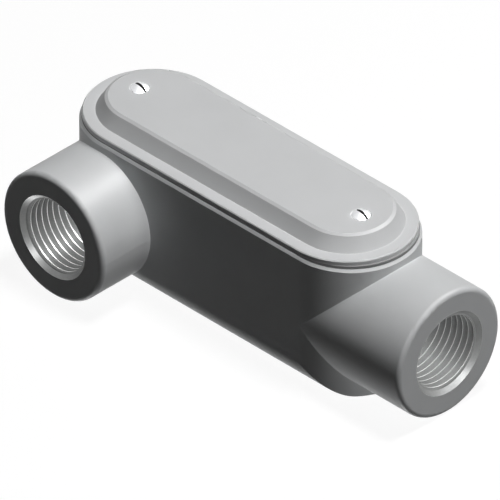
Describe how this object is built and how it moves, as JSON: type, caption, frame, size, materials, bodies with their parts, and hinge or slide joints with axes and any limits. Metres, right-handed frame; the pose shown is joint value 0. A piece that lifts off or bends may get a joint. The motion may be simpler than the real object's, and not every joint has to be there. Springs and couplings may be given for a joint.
{
  "type": "conduit body",
  "caption": "Elongated threaded conduit outlet body with a hub on its end and another on its side, closed by a raised, gasketed cover that slotted screws hold down.",
  "frame": {"origin": "on the flat back of the housing, midway between the centres of its rounded ends", "axes": "+X along the housing towards the end hub, -Y along the side hub, +Z out through the cover"},
  "size_m": [0.1159, 0.0496, 0.043],
  "materials": {
    "casting": "silver-grey enamel",
    "cover_casting": "silver-grey enamel",
    "gasket_rubber": "matt grey rubber",
    "screw_steel": "zinc-plated"
  },
  "bodies": {
    "housing": {"housing": "casting", "gasket": "gasket_rubber"},
    "cover": {"cover": "cover_casting"},
    "end_hub_screw": {"cover_screw_end_hub": "screw_steel"},
    "side_hub_screw": {"cover_screw_side_hub": "screw_steel"}
  },
  "joints": [
    {"name": "cover_lift", "type": "slide", "parent": "housing", "child": "cover", "axis": [0, 0, 1], "range_m": [0, 0.00889]},
    {"name": "end_hub_screw_turn", "type": "hinge", "parent": "cover", "child": "end_hub_screw", "pos_m": [0.03675, 0, 0.0421], "axis": [0, 0, 1], "range_deg": [0, 5041]},
    {"name": "side_hub_screw_turn", "type": "hinge", "parent": "cover", "child": "side_hub_screw", "pos_m": [-0.03675, 0, 0.0421], "axis": [0, 0, 1], "range_deg": [0, 5041]}
  ],
  "couplings": [
    {"joint": "end_hub_screw_turn", "follows": "cover_lift", "rad_per_m": 9894.8},
    {"joint": "side_hub_screw_turn", "follows": "cover_lift", "rad_per_m": 9894.8}
  ]
}
